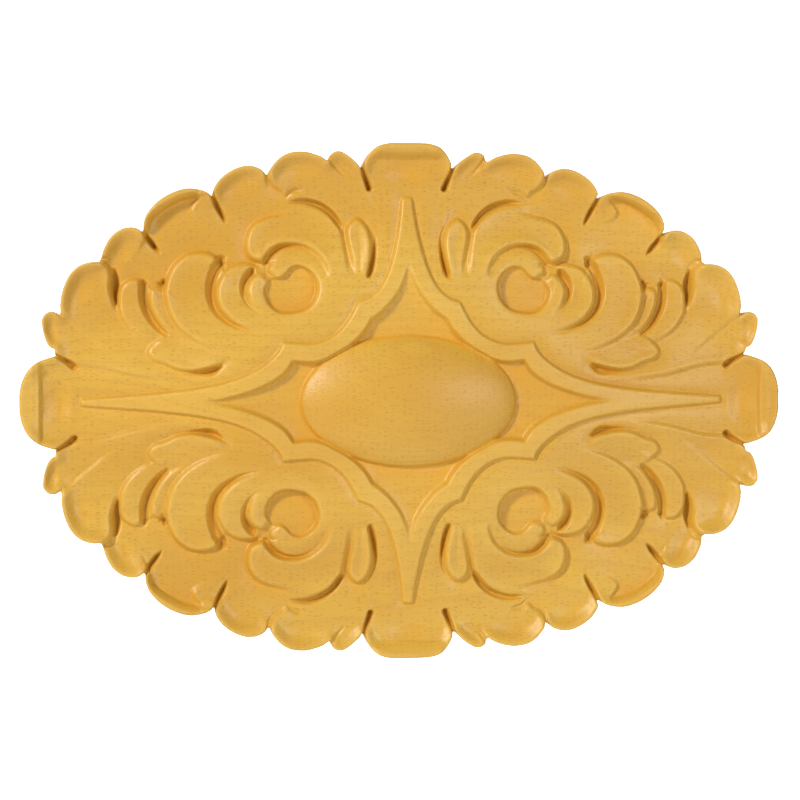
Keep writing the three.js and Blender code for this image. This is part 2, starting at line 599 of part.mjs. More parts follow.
// Mirrors the quarter into the whole face, then adds the side walls and the flat back
const vertices = [];
const indices = [];
const known = new Map();
function vertex(x, y, z) {
  const key = [x, y, z].map((v) => v.toFixed(4)).join();
  if (!known.has(key)) {
    known.set(key, vertices.length / 3);
    vertices.push(x, y, z);
  }
  return known.get(key);
}
const outlineEdges = [];
for (const [mirrorX, mirrorY] of [[1, 1], [-1, 1], [-1, -1], [1, -1]]) {
  const corner = (i, level = levels[i]) => {
    const [x, y] = [points[i].x * stretchX * mirrorX, points[i].y * stretchY * mirrorY];
    return vertex(x || 0, y || 0, level);
  };
  const flipped = mirrorX * mirrorY < 0;
  const edges = new Map();
  for (const [a, b, c] of quarter) {
    indices.push(...(flipped ? [corner(a), corner(c), corner(b)] : [corner(a), corner(b), corner(c)]));
    for (const [p, q] of [[a, b], [b, c], [c, a]]) {
      if (!edges.delete(`${q},${p}`)) edges.set(`${p},${q}`, [p, q]);
    }
  }
  for (const [p, q] of edges.values()) {
    const onAxis = Math.max(points[p].x, points[q].x) < 1e-6 || Math.max(points[p].y, points[q].y) < 1e-6;
    if (onAxis) continue;
    const [a, b] = flipped ? [q, p] : [p, q];
    indices.push(corner(b), corner(a), corner(a, 0), corner(b), corner(a, 0), corner(b, 0));
    outlineEdges.push([corner(a, 0), corner(b, 0)]);
  }
}
const next = new Map(outlineEdges);
const backLoop = [outlineEdges[0][0]];
while (next.get(backLoop.at(-1)) !== backLoop[0]) backLoop.push(next.get(backLoop.at(-1)));
const backOutline = backLoop.map((i) => new THREE.Vector2(vertices[i * 3], vertices[i * 3 + 1]));
for (const [a, b, c] of THREE.ShapeUtils.triangulateShape(backOutline, [])) {
  indices.push(backLoop[a], backLoop[c], backLoop[b]);
}

const carving = new THREE.BufferGeometry();
carving.setAttribute('position', new THREE.Float32BufferAttribute(vertices, 3));
carving.setIndex(indices);
carving.computeVertexNormals();

const beech = new THREE.MeshStandardMaterial({ color: 0xdda24a, roughness: 0.55, metalness: 0 });
const rosette = new THREE.Mesh(carving, beech);
rosette.name = 'rosette';

// The drawing board's height becomes the depth in front of the wall, and its y runs up the wall
const group = new THREE.Group();
group.add(rosette);
group.rotation.x = Math.PI / 2;

export default group;
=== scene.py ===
# %% [markdown]
# # A carved oval rosette in beech
# The real piece is one flat-backed board, about 300 mm long, with scrolled leaves carved into its face. It is
# fixed flat against a wall, a door or a panel. This lesson starts from the plain solid of the same board, so
# that the carving made here has the same outline, size and place.

import math

import bmesh
import bpy
import numpy as np
from mathutils import Matrix, Vector


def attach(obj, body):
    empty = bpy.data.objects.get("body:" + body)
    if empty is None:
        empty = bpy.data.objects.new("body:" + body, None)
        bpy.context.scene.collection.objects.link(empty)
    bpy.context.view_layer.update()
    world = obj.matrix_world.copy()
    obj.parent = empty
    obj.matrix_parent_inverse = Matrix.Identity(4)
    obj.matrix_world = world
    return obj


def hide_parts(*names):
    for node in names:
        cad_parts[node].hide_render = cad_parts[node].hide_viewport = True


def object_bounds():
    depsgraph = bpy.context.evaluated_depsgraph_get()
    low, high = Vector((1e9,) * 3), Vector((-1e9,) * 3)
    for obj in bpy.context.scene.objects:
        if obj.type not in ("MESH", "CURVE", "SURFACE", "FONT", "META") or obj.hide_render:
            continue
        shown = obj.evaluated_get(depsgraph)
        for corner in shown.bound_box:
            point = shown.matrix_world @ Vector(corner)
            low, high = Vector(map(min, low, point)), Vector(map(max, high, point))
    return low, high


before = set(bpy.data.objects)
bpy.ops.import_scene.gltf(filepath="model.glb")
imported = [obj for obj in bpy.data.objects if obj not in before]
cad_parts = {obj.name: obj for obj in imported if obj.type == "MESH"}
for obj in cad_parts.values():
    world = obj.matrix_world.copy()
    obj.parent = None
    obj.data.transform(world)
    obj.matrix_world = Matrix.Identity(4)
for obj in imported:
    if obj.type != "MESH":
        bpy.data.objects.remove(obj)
solid_low, solid_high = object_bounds()
mm = 0.001
length = (solid_high.x - solid_low.x) / mm
height = (solid_high.z - solid_low.z) / mm
thickness = (solid_high.y - solid_low.y) / mm
print(f"the board is {length:.1f} mm long, {height:.1f} mm high and {thickness:.1f} mm thick")

# %% [markdown]
# ## One quarter of the drawing
# The four quarters of the carving mirror each other, so only the upper right one is drawn. It could be
# modelled by hand with sculpt brushes. A grid of heights is used here, because the carver's lines are easy to
# name and every cut can be given its real width and depth. All sizes are millimetres from the middle of the
# oval.

# %% Free edge of the leaves
lobes = [
    [(0, 99.5), (5, 99.5), (9, 99.1), (12.6, 97.8), (15.3, 95.3), (16.9, 92.6), (17.7, 90.6)],
    [(18.5, 90.3), (20.5, 92.3), (23.5, 94.7), (26.3, 96.1), (28.5, 96), (30.2, 94.9), (30.9, 93.2)],
    [(31.6, 92.6), (34.5, 94.3), (39, 95.6), (43, 95.8), (47, 95.1), (50.6, 93), (53.5, 89.6), (54.8, 87.2)],
    [(55.2, 87.1), (57.5, 89.1), (60.5, 90.1), (64, 90.1), (68.5, 88.5), (72.9, 85.4), (75.4, 81.9),
     (76.1, 79.2)],
    [(76.5, 79), (79.5, 80.6), (83.5, 81.3), (87.5, 81), (92.6, 79.1), (97.1, 76.2), (100.7, 72.3),
     (102.3, 68.8), (102.6, 65.8)],
    [(103.2, 65), (105.2, 66.2), (108, 66.5), (111.6, 65.5), (115.1, 62.7), (117.5, 58.6), (118.6, 55.2)],
    [(119.6, 53.4), (123.5, 53.1), (127.6, 51.5), (130.8, 48.2), (133.1, 43.3), (134.2, 38.2), (134.2, 34.2)],
    [(134.7, 33.5), (136.8, 34.5), (139.3, 34.1), (141.1, 31.8), (141, 28.2), (140, 24.2), (138.5, 21.4),
     (136.6, 20.4)],
    [(136.3, 17.8), (139, 17), (143.1, 15.4), (146.5, 12.4), (148.8, 8.3), (149.8, 4), (150, 0)],
]
half_length = lobes[-1][-1][0]
half_height = lobes[0][0][1]


def smooth_line(knots, per_span=8):
    """A smooth curve through knots of x, y and, where there is one, a share that is carried along."""
    points = np.array([(*knot, 1)[:3] for knot in knots], float)
    before = 2 * points[0] - points[1]
    after = 2 * points[-1] - points[-2]
    padded = np.vstack([before, points, after])
    p0, p1, p2, p3 = padded[:-3], padded[1:-2], padded[2:-1], padded[3:]
    t = (np.arange(per_span) / per_span)[:, None, None]
    cubic = (3 * p1 - p0 - 3 * p2 + p3) * t**3 + (2 * p0 - 5 * p1 + 4 * p2 - p3) * t**2
    curve = (cubic + (p2 - p0) * t) / 2 + p1
    return np.vstack([curve.transpose(1, 0, 2).reshape(-1, 3), points[-1]])


rim = np.vstack([smooth_line(lobe) for lobe in lobes])
print(f"the free edge has {len(lobes)} lobes in a quarter and {len(rim)} points")

# %% The grid of one quarter
grid_step = 0.25
grid_x, grid_y = np.meshgrid(
    np.arange(0, half_length + 4 * grid_step, grid_step),
    np.arange(0, half_height + 4 * grid_step, grid_step),
)
print(f"the grid has {grid_x.shape[1]} columns and {grid_x.shape[0]} rows")

# %% [markdown]
# ## Measuring on the grid
# Each cut follows a line, so every grid point has to know how far it lies from that line, and on which side.
# Only the window of the grid near the line is measured, which keeps the lesson quick.

# %% Distances and soft steps


def window(low, high, margin):
    """The part of the grid between two corners, widened by a margin."""
    first = np.maximum((np.array(low) - margin) / grid_step, 0).astype(int)
    last = np.maximum((np.array(high) + margin) / grid_step + 2, 0).astype(int)
    return slice(first[1], last[1]), slice(first[0], last[0])


def measure(line, reach):
    """For every grid point: distance to a line, positive on its left, and the share at its nearest spot."""
    gap = np.full(grid_x.shape, float(reach))
    side = np.ones(grid_x.shape)
    share = np.zeros(grid_x.shape)
    for a, b in zip(line[:-1], line[1:]):
        dx, dy, dshare = b - a
        run = dx * dx + dy * dy
        if run < 1e-9:
            continue
        part = window(np.minimum(a, b)[:2], np.maximum(a, b)[:2], reach)
        px, py = grid_x[part] - a[0], grid_y[part] - a[1]
        t = np.clip((px * dx + py * dy) / run, 0, 1)
        away = np.hypot(px - t * dx, py - t * dy)
        near = away < gap[part]
        gap[part] = np.where(near, away, gap[part])
        side[part] = np.where(near, np.where(dx * py - dy * px < 0, -1, 1), side[part])
        share[part] = np.where(near, a[2] + t * dshare, share[part])
    return gap * side, np.clip(share, 0, None)


def within(line, x, y):
    """Whether grid points lie inside a closed line."""
    odd = np.zeros(x.shape, bool)
    for a, b in zip(line, np.roll(line, 1, axis=0)):
        if a[1] == b[1]:
            continue
        crosses = (a[1] > y) != (b[1] > y)
        odd ^= crosses & (x < (b[0] - a[0]) * (y - a[1]) / (b[1] - a[1]) + a[0])
    return odd


def ease(value, start, end):
    """A soft step from 0 at start to 1 at end."""
    t = np.clip((value - start) / (end - start), 0, 1)
    return t * t * (3 - 2 * t)


def fade(gap, reach):
    """Falls from 1 at the line towards 0 over a reach."""
    return np.exp(-np.clip(gap, 0, None) / reach)


# %% [markdown]
# ## The ground under the leaves
# Before any leaf was cut, the board was dished: highest round the middle, lowest in a valley near the rim,
# and rising a little again to the rim. A soft ridge follows the free edge. The end lobes are turned over like
# lips, with a soft crest.

# %% Ground, raised rim and turned lips
valley_level = 8.6
crest_level = 14.8
rim_level = 11.2
valley_inset = 22
crest_radius = 0.42
lobe_edge_rise = 2.2
lobe_edge_width = 3.0
rim_reach = 14
lip_corner = 5


def ground(x, y):
    """Height of the dished board."""
    r = np.hypot(x / half_length, y / half_height)
    reach = np.where(r > 0, np.hypot(x, y) / np.maximum(r, 1e-9), half_height)
    valley_radius = 1 - valley_inset / reach
    inward = np.clip((valley_radius - r) / (valley_radius - crest_radius), 0, 1)
    outward = np.clip((r - valley_radius) / (1 - valley_radius), 0, 1.1)
    fall = (ease(inward, 0, 1) + inward) / 2
    return valley_level + (crest_level - valley_level) * fall + (rim_level - valley_level) * outward**1.5


def lip(far, across, lip_half, crest, face, strip, rise, fall):
    """Height that one turned lip adds: a short face, a flat strip, and a fall to the free edge."""
    sides = 1 - ease(np.abs(across), lip_half - lip_corner, lip_half)
    outward = np.clip(far - crest - strip, 0, None) * fall
    return ease(far, crest - face, crest) * sides * (rise - outward)


rim_gap = np.abs(measure(rim, rim_reach)[0])
relief = ground(grid_x, grid_y) + lobe_edge_rise * np.exp(-((rim_gap / lobe_edge_width) ** 2))
relief += lip(grid_x, grid_y, lip_half=17, crest=142.8, face=1.6, strip=2.2, rise=1.6, fall=0.5)
relief += lip(grid_y, grid_x, lip_half=16, crest=96.4, face=3.6, strip=1.0, rise=1.9, fall=0.4)
print(f"the ground runs from {relief.min():.1f} to {relief.max():.1f} mm above the back")

# %% [markdown]
# ## Spoons
# Every lobe is hollowed with a broad gouge, so that a soft rim is left round it. A spoon is an oval bowl: a
# middle, half a length, half a width, the direction of its length in degrees, and a depth, all of them
# deepened alike at the end.

# %% Hollow every lobe
spoons = {
    "top lobe": (0, 88.6, 9.5, 5.6, 0, 1.0),
    "pointed lobe": (23.5, 90.6, 6.5, 3.6, 35, 0.5),
    "broad top lobe": (42, 89, 9, 4.6, -5, 0.6),
    "round top lobe": (65, 83, 8, 5, -18, 0.7),
    "shoulder lobe": (111, 57.5, 6.5, 4.6, -50, 0.8),
    "wide side lobe": (127, 42, 8, 5, -68, 0.7),
    "small side lobe": (138.2, 27.2, 5.6, 3.0, 75, 1.1),
    "side lobe": (135.5, 0, 10.5, 6.2, 90, 1.3),
}
spoon_depth = 1.2
spoon_flat, spoon_edge = 0.1, 1.15
for x, y, half_long, half_wide, degrees, depth in spoons.values():
    cosine, sine = math.cos(math.radians(degrees)), math.sin(math.radians(degrees))
    along = ((grid_x - x) * cosine + (grid_y - y) * sine) / half_long
    across = ((grid_y - y) * cosine - (grid_x - x) * sine) / half_wide
    relief -= spoon_depth * depth * (1 - ease(np.hypot(along, across), spoon_flat, spoon_edge))
print(f"{len(spoons)} spoons are hollowed")

# %% [markdown]
# ## Overlapping leaves
# Where one leaf lies over another, its edge stands up a little and the leaf below is set down beside it. Each
# edge is a line with the raised leaf on its left. Its wall climbs steeply from the line and rounds off at the
# top. The rise and the sink fade out away from the line, so that both leaves stay hollow, as a gouge leaves
# them. The heights were chosen before sanding, and all of them are a little stronger here to make up for it.

# %% Edges of the leaves: rise, sink, reach, and knots of x, y and share
edges = {
    "narrow leaf beside the stem": (1.0, 1.3, 3.0, [
        (21.3, 48, 0), (22.7, 54, 0.6), (23.8, 59, 0.8), (24.8, 65, 1), (23.4, 69, 1), (20, 71.2, 1),
        (16.8, 69.4, 1), (14.6, 65.5, 1), (13.8, 60.5, 1), (14.3, 55, 1), (15.2, 50.5, 0.7),
        (16.2, 47.5, 0)]),
    "front of the large curl": (1.3, 1.5, 4.2, [
        (56.2, 53.2, 0.4), (58, 53.2, 1), (60.6, 53.9, 1), (62.7, 55.6, 1), (63.9, 58.6, 1), (63.9, 62.2, 1),
        (62.6, 66, 1), (60.2, 69, 0.9), (56.5, 71, 0.7), (52, 72.2, 0.5), (47, 73.4, 0.3), (42, 74.5, 0)]),
    "back of the large curl": (1.2, 0.6, 3.6, [
        (45, 76.4, 0.3), (38, 76, 0.5), (31, 73, 0.7), (26.5, 68.6, 0.9), (25, 65, 0.8), (24.2, 60, 0.7),
        (23.4, 54, 0.6), (23, 47, 0)]),
    "inside of the large curl": (0.9, 1.1, 2.8, [
        (32.4, 47, 0), (32.4, 50.5, 0.6), (34.4, 54.6, 1), (37.2, 57.4, 1), (40.6, 59.4, 1), (44.6, 60.2, 1),
        (48.6, 59.8, 1), (51.8, 58.2, 1), (54, 55.8, 1), (54.9, 53.8, 0.8), (55.2, 52.6, 0.2)]),
    "tip of the small curl": (0.5, 1.2, 2.4, [
        (52.4, 48.2, 0.5), (54.2, 48.8, 0.9), (55.2, 50.4, 1), (54.9, 52.2, 1), (53.4, 53.8, 0.4)]),
    "first crescent": (0.7, 1.0, 2.6, [
        (57.5, 33.6, 0), (60.8, 36.2, 0.4), (62.8, 40, 1), (63.2, 43.5, 1), (61.8, 46.8, 1), (59.8, 48.8, 1),
        (57.6, 49.6, 1), (55.8, 48.4, 0.8), (55, 46.5, 0.2)]),
    "second crescent": (1.0, 1.1, 3.0, [
        (56, 26.2, 0), (62, 27.6, 0.4), (68, 30, 0.8), (72, 33.4, 1), (74.6, 37.6, 1), (75.2, 42, 1),
        (74.3, 45.9, 1), (72.6, 49, 1), (70.3, 51.7, 1), (66.5, 53.4, 1), (62.8, 54, 1), (60, 53.3, 0.8),
        (58.4, 51.8, 0.3)]),
    "third crescent": (1.3, 1.2, 4.2, [
        (68, 18.4, 0), (74.5, 19.6, 0.35), (81, 21.9, 0.5), (87, 25.6, 0.7), (92, 31, 0.9), (94.6, 37.6, 1),
        (95.2, 43.5, 1), (93.9, 48.2, 1), (91.8, 52.4, 1), (88.8, 55.4, 1), (85, 57.5, 1),
        (80, 58, 1), (76, 57, 1), (73.8, 55.1, 1), (73, 53.3, 0.4)]),
    "tongue of the third crescent": (0.7, 0.9, 3.0, [
        (86, 23.2, 0), (89.5, 24.6, 0.5), (93.4, 26.6, 0.7), (97, 30.3, 1), (99.6, 34.6, 1), (100.8, 38.6, 1),
        (100.8, 42, 1), (99.4, 44.3, 1), (97, 44.6, 1), (95.2, 43.4, 0.5)]),
    "fourth crescent": (0.9, 1.0, 3.6, [
        (96.5, 21.2, 0.2), (102.5, 23.6, 0.5), (107.5, 26.8, 0.7), (111, 31, 0.8), (113, 36, 0.9),
        (113, 41, 1), (111.4, 45, 1), (108.3, 47.4, 1), (104.9, 47.7, 1), (102.7, 46, 0.5)]),
    "wide lobe over its neighbour": (1.2, 1.2, 3.6, [
        (120.5, 54.3, 1), (117.2, 53.6, 1), (115.1, 51.3, 1), (114.4, 47.8, 1), (114.8, 44.5, 1),
        (114.3, 41.3, 1), (113.3, 38, 0.8), (112.2, 34.8, 0)]),
    "low tongue": (0.9, 1.2, 2.8, [
        (69, 17, 0), (72.4, 14.6, 0.7), (76, 12.6, 1), (80, 11.6, 1), (84, 11.2, 1), (88, 11.5, 1),
        (91.4, 12.5, 1), (95, 14.2, 1), (99.4, 15.6, 0.9), (102, 18.8, 0.8), (100.6, 22, 0.7),
        (97.2, 24.4, 0.6), (94.5, 25.4, 0)]),
    "lobe over the large curl": (0.7, 1.0, 3.2, [
        (46.5, 79, 0.3), (48.5, 79, 0.8), (50, 80.5, 1), (52.8, 82.2, 1), (54.4, 84.8, 1), (55.1, 88, 1)]),
    "fold under the wide lobe": (0.4, 0.4, 3.0, [
        (107, 14.5, 0), (113, 16.6, 0.3), (118.5, 20, 0.6), (123, 23.8, 0.8), (127.5, 27.3, 1),
        (130.8, 30.2, 1), (133, 32.3, 1), (134.8, 34.6, 1)]),
    "stem of the side lobe": (0.6, 0.6, 3.2, [
        (88, 7.6, 0.2), (97, 8.2, 0.7), (104, 9.2, 1), (111, 10.8, 1), (117, 12.4, 1), (122, 13.2, 1),
        (127.4, 13.6, 1)]),
    "stem of the top lobe": (0.4, 0.4, 3.6, [
        (14, 82, 0.6), (13.8, 78, 0.3), (13.2, 72, 0.3), (12.2, 66, 0.4), (11.3, 59, 0.4), (11, 51, 0.2)]),
    "crease of the turned lip": (1.9, 1.4, 4.0, [
        (80, 78.8, 0.2), (82.3, 78.2, 0.6), (87.8, 76.8, 1), (93.3, 74, 1), (98.8, 70, 1),
        (100.8, 65.8, 0.6)]),
    "scoop before the turned lip": (0.7, 0.7, 3.0, [
        (77.5, 67.9, 0), (83.7, 70.6, 0.8), (85.2, 74, 1), (82.3, 78.2, 0.8)]),
}
edge_round = 2.2
edge_steepness = 1.8
reaches_measured = 6
extra_for_sanding = 1.15
for rise, sink, reach, knots in edges.values():
    gap, share = measure(smooth_line(knots), reaches_measured * reach)
    above = 1 - (1 - np.clip(gap / edge_round, 0, 1)) ** edge_steepness
    raised = rise * fade(gap - edge_round, reach) * above
    lowered = sink * fade(-gap, reach) * (1 - above)
    relief += extra_for_sanding * share * (raised - lowered)
print(f"{len(edges)} leaf edges are cut")

# %% [markdown]
# ## The spiral eye
# In the middle of each scroll is a round well with a nearly flat floor. The tip of the small curl hangs over
# it from above and the first crescent bulges into it from the side, so its line is given by knots all round.
# The floor leans a little, deeper towards the top, and rises softly away from the wall.

# %% Well
well_knots = [
    (46.2, 33.4), (40.8, 34.6), (36.9, 37.8), (35, 42.4), (35.5, 47), (38, 50.6), (41.6, 52.6),
    (44.6, 52.6), (46.9, 51.3), (48.6, 49.4), (50.4, 48.2), (52.6, 48.2), (54.4, 48), (55.2, 46.2),
    (56.7, 43.6), (56.4, 40.2), (55, 37.2), (52.6, 34.8), (49.8, 33.6), (46.2, 33.4),
]
well_depth = 3.9
well_wall = 1.3
well_shoulder, well_shoulder_reach = 0.6, 1.4
well_tilt = 0.05
well_crown, well_crown_reach = 0.05, 6
well_reach = 16
well_line = smooth_line(well_knots)
eye_x, eye_y = well_line[:, 0].mean(), well_line[:, 1].mean()
eye_ground = float(ground(np.array(eye_x), np.array(eye_y)))
into_well = np.abs(measure(well_line, well_reach)[0])
into_well *= np.where(within(well_line, grid_x, grid_y), 1, -1)
eye_floor = eye_ground - well_depth + well_crown * np.clip(into_well, 0, well_crown_reach)
eye_floor -= well_tilt * (grid_y - eye_y)
well = ease(into_well, 0, well_wall)
relief -= well_shoulder * fade(-into_well, well_shoulder_reach) * (1 - well)
relief += well * (eye_floor - relief)
print(f"the eye is {np.ptp(well_line[:, 0]):.1f} by {np.ptp(well_line[:, 1]):.1f} mm")

# %% [markdown]
# ## Channels and slits
# The dark lines of the carving are cuts with a round bottom, made with small gouges and veiners. They thin
# out towards one end, as the tool comes up out of the wood. A channel beside a leaf is steep on one side and
# rises slowly on the other, so each cut has a depth and two widths. The first is on the left of its line.

# %% Cuts: width on the left and on the right, depth, and knots of x, y and share
cuts = {
    "beside the narrow leaf": (1.3, 1.3, 3.0, [
        (15.6, 48.4, 0.9), (14.9, 50.5, 1.1), (14.1, 53.5, 1), (13.4, 57.5, 0.8), (13.1, 61, 0.55),
        (13.6, 64.5, 0.35), (15, 67.6, 0.2)]),
    "behind the large curl": (1.2, 1.9, 3.0, [
        (26, 66.4, 0.4), (26.9, 68.6, 0.9), (28.6, 71.3, 1.05), (31, 73.8, 1), (34.2, 75.8, 1),
        (37.6, 77, 0.9), (40.5, 77.5, 0.8), (43.5, 77.3, 0.6), (46.5, 77, 0.2)]),
    "under the large curl": (1.3, 2.0, 2.3, [
        (55.8, 53.6, 0.9), (54.4, 55.9, 1.1), (52.2, 58, 1.1), (49, 59.6, 0.8), (45, 60, 0.5),
        (41, 59.3, 0.35), (37.5, 57.6, 0.2)]),
    "after the first crescent": (1.1, 2.2, 3.0, [
        (57, 33.8, 0), (60.4, 35.3, 0.2), (62.9, 38, 0.4), (64.1, 41, 0.6), (64.2, 44.4, 0.8),
        (62.8, 47.4, 1.1), (60.9, 49.6, 1.1)]),
    "after the second crescent": (1.4, 3.0, 3.2, [
        (57, 26.2, 0), (62, 27.2, 0.2), (67.4, 29.3, 0.4), (71.9, 32.2, 0.6), (75, 36, 0.8),
        (76.5, 41.2, 0.95), (76.2, 46.2, 1), (74.4, 50.6, 1.1), (72.6, 53.4, 1.2)]),
    "after the third crescent": (1.4, 2.6, 3.2, [
        (94.2, 26.2, 0.5), (97, 28.7, 0.7), (99.8, 32.6, 0.9), (101.9, 37.4, 1), (102.6, 41.5, 1),
        (102.4, 45, 1)]),
    "notch of the third crescent": (1.2, 1.2, 2.0, [(94.9, 46.2, 1), (95.4, 45, 1), (97.2, 45.6, 0.5)]),
    "under the wide lobe": (1.4, 2.0, 3.4, [
        (113.1, 37.6, 0.3), (113.5, 41, 0.7), (113.2, 44.6, 1), (113.3, 47.4, 0.9), (113.9, 50.5, 0.5)]),
    "under the low tongue": (1.3, 2.2, 2.6, [
        (73.4, 13.8, 0.5), (75.6, 12.7, 1), (78, 12.1, 1.15), (81, 11.8, 0.8), (85, 11.6, 0.4),
        (90, 12.2, 0.2)]),
    "tip over the large curl": (1.4, 1.4, 1.2, [
        (40.5, 81.8, 0.2), (43.6, 81.2, 1), (46, 80.2, 0.8), (47.4, 78.4, 0.4)]),
    "fold beside the pointed lobe": (1.4, 1.4, 1.5, [
        (30.4, 93.6, 1), (29.2, 91.6, 0.9), (26.5, 88.5, 0.5), (22.5, 84.5, 0)]),
    "slit beside the top lobe": (1.25, 1.25, 4.5, [
        (18.1, 91.2, 0.8), (17.3, 88.3, 0.75), (15.8, 84.8, 1), (14.9, 82.4, 1.15)]),
    "slit before the turned lip": (1.1, 1.1, 3.8, [
        (76.3, 79.6, 0.9), (74.9, 76.3, 1), (73.3, 73.3, 1), (72, 70.8, 0.8), (71.2, 69, 0.4)]),
    "slit after the turned lip": (1.1, 1.1, 3.8, [
        (102.9, 65.8, 0.9), (101, 62.7, 1), (98.8, 59.9, 1.1), (97.2, 58, 0.6), (96.4, 57, 0.3)]),
    "slit beside the side lobe": (1.2, 1.2, 4.0, [
        (136.4, 18.2, 0.7), (133.6, 16.6, 0.8), (131, 15, 1.15), (129.4, 13.8, 1.4)]),
    "notch of the wide lobe": (1.0, 1.0, 1.2, [(134.9, 34, 1), (134, 32.6, 0.6), (132.6, 31, 0.2)]),
    "notch of the round lobe": (0.9, 0.9, 1.2, [(55.2, 87.6, 1), (55, 85, 0.8), (53.8, 82.6, 0.4)]),
    "notch of the small side lobe": (1.2, 1.2, 1.2, [(119.4, 54.6, 1), (116, 54.6, 0.6), (113.6, 51.8, 0.5)]),
}
thinnest_share = 0.25
flat_bottom = 0.2
for left, right, depth, knots in cuts.values():
    gap, share = measure(smooth_line(knots), 2 * max(left, right))
    across = np.abs(gap) / (np.where(gap > 0, left, right) * np.maximum(share, thinnest_share))
    relief -= depth * np.minimum(share, 1) * (1 - ease(across, flat_bottom, 1))
print(f"{len(cuts)} channels and slits are cut")

# %% [markdown]
# ## The raised band, the dish and the boss
# A flat band with eased edges runs round a sunk diamond and out to the four end lobes. In the diamond sits a
# plain oval boss, the highest part of the board: a low dome on a small step.

# %% Band
band_outer = [
    [(0, 79.6), (1.6, 79.4), (2.7, 78), (3.4, 72), (4.6, 64.5), (6.3, 57), (8.6, 50), (11.6, 44.4),
     (15.5, 40.6), (20.6, 38.5)],
    [(20.6, 38.5), (22.3, 35), (25, 30.5), (28.7, 26.6), (33, 24), (38, 22.7), (43.5, 22.9), (49.8, 23.4)],
    [(49.8, 23.4), (51.4, 19.7), (55, 16), (60, 12.6), (66, 9.8), (74, 7.4), (84, 5.6), (96, 4.2), (110, 3.1),
     (125.5, 2), (127.4, 1.2), (127.5, 0)],
]
band_inner = [
    [(0, 54), (1.4, 48.3), (3.8, 42.9), (7.3, 38), (11, 34.3), (14.8, 31.6)],
    [(14.8, 31.6), (17.2, 27.5), (20.5, 23.9), (24.5, 20.7), (29, 18), (34, 15.7), (39, 14.9), (45.4, 15.5)],
    [(45.4, 15.5), (48.4, 11.3), (53, 7.9), (59, 5), (66, 2.7), (73, 1), (79.5, 0)],
]
band_rise = 1.3
band_foot, band_foot_reach = 0.9, 1.6
band_end_drop, band_drop_start, band_drop_end = 0.8, 0.6, 0.9
band_wall_width = 0.9
band_chamfer, band_chamfer_width, band_chamfer_start = 0.4, 0.8, 0.6
dish_wall_width = 1.6
band_reach = 30
middle = np.array([[0, 0, 1]])
outer_line = np.vstack([smooth_line(arc) for arc in band_outer])
inner_line = np.vstack([smooth_line(arc) for arc in band_inner])
inside_band = within(np.vstack([outer_line, middle]), grid_x, grid_y)
inside_dish = within(np.vstack([inner_line, middle]), grid_x, grid_y)
from_outer = np.abs(measure(outer_line, band_reach)[0]) * np.where(inside_band, 1, -1)
from_inner = np.abs(measure(inner_line, band_reach)[0]) * np.where(inside_dish, -1, 1)
on_band = np.minimum(from_outer, from_inner + dish_wall_width / 2)
oval_radius = np.hypot(grid_x / half_length, grid_y / half_height)
bevel = 1 - ease(on_band, band_chamfer_start * band_wall_width, band_wall_width + band_chamfer_width)
end_drop = band_end_drop * ease(oval_radius, band_drop_start, band_drop_end)
band_top = ground(grid_x, grid_y) + band_rise - end_drop - band_chamfer * bevel
outer_wall = ease(from_outer, 0, band_wall_width)
foot = relief - band_foot * fade(-from_outer, band_foot_reach)
relief = np.where(inside_dish, relief, foot + (band_top - foot) * outer_wall)
outer_cusp, inner_cusp = band_outer[1][0], band_inner[1][0]
print(f"the band is {math.dist(outer_cusp, inner_cusp):.1f} mm wide at its upper cusp")

# %% Dish and boss
boss_length, boss_height = 84.6, 50.6
dish_level = 12.0
dish_rise, dish_rise_reach = 1.8, 0.7
dish_cove, dish_cove_reach = 0.9, 1.6
boss_shoulder = 1.5
boss_fullness = 0.78
boss_clearance = 0.01
boss_share = np.hypot(grid_x / (boss_length / 2), grid_y / (boss_height / 2))
dish = dish_level + dish_rise * (1 - fade(boss_share - 1, dish_rise_reach))
dish += dish_cove * fade(-from_inner, dish_cove_reach)
inner_wall = ease(from_inner, -dish_wall_width / 2, dish_wall_width / 2)
near_dish = inside_dish | (from_inner < dish_wall_width)
relief = np.where(near_dish & (from_outer > 0), dish + (band_top - dish) * inner_wall, relief)
shoulder = dish_level + boss_shoulder
dome = shoulder + (thickness - boss_clearance - shoulder) * np.clip(1 - boss_share**2, 0, 1) ** boss_fullness
relief = np.where(boss_share < 1, dome, relief)
print(f"the boss is {boss_length} by {boss_height} mm, and its top is {relief.max():.1f} mm above the back")

# %% [markdown]
# ## Sanding
# Nothing on the real board is knife sharp: it was sanded after carving. A small blur of the heights rounds
# every ridge and hollow by the same amount. The free edge is rounded over separately.

# %% Blur the heights and round the free edge


def blurred(values, sigma):
    """The grid blurred with a bell curve of sigma millimetres, mirrored at the axes."""
    reach = int(math.ceil(3 * sigma / grid_step))
    bell = np.exp(-((np.arange(-reach, reach + 1) * grid_step / sigma) ** 2) / 2)
    bell /= bell.sum()
    padded = np.pad(values, reach, mode="reflect")
    for axis in (0, 1):
        kept = padded.shape[axis] - 2 * reach
        shifted = [np.take(padded, range(k, kept + k), axis) for k in range(len(bell))]
        padded = sum(weight * copy for weight, copy in zip(bell, shifted))
    return padded


sanding = 0.3
relief = blurred(relief, sanding)
edge_radius = 1.3
edge_rounding = 0.75
inside_rim = within(np.vstack([rim, middle]), grid_x, grid_y)
inset = np.clip(np.where(inside_rim, rim_gap, 0), 0, edge_radius)
relief -= edge_rounding * edge_radius * (1 - np.sqrt(1 - (1 - inset / edge_radius) ** 2))
print(f"the free edge is rounded over by {edge_radius} mm")

# %% [markdown]
# ## From the grid to a mesh
# Grid points next to the free edge are pulled onto it, so that the outline is smooth and not stepped. The
# quarter gets a flat back and a side wall, is thinned out where it is nearly flat, and is mirrored twice into
# one closed mesh.

